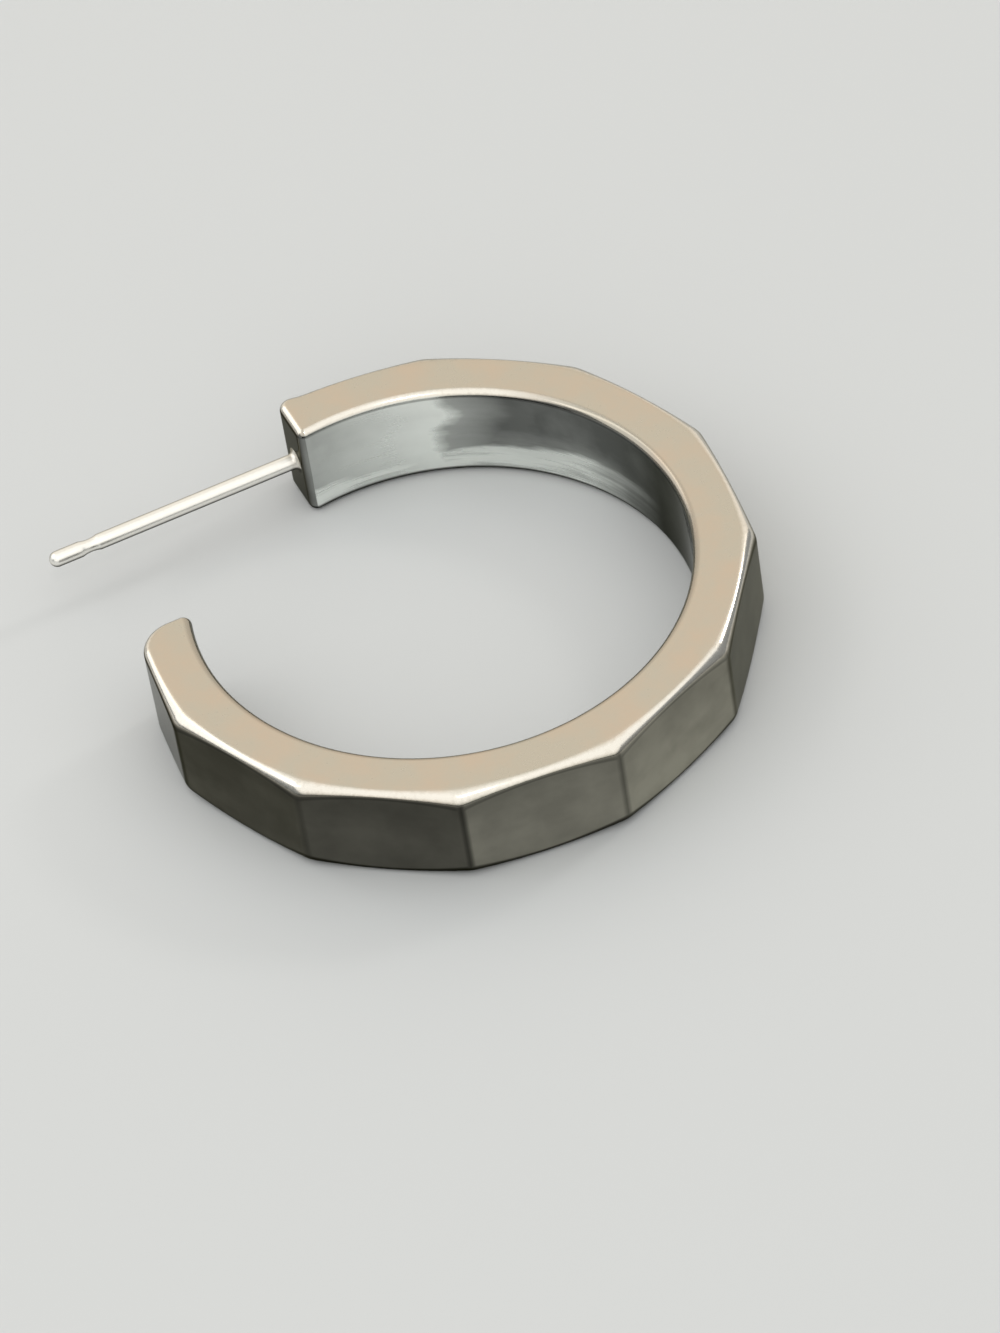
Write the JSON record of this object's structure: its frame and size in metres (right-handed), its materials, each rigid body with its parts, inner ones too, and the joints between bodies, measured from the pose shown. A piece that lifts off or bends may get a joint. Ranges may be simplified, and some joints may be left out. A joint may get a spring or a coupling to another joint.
{
  "type": "geometric hoop earring",
  "caption": "C-shaped hoop earring in polished silver: smooth round inside, flat facets round the outside, and a straight ear post soldered across its open quarter. Lies on its side.",
  "frame": {"origin": "under the middle of the whole earring's box, at the level of the side face it lies on", "axes": "+Z along the hoop's axis, -X along the ear post towards its tip, +Y from the middle of the hoop towards the post"},
  "size_m": [0.0286, 0.0282, 0.0051],
  "materials": {
    "silver": "polished silver-tone metal with soft edges, side faces slightly satin"
  },
  "bodies": {
    "root": {"faceted_hoop": "silver"}
  },
  "joints": []
}
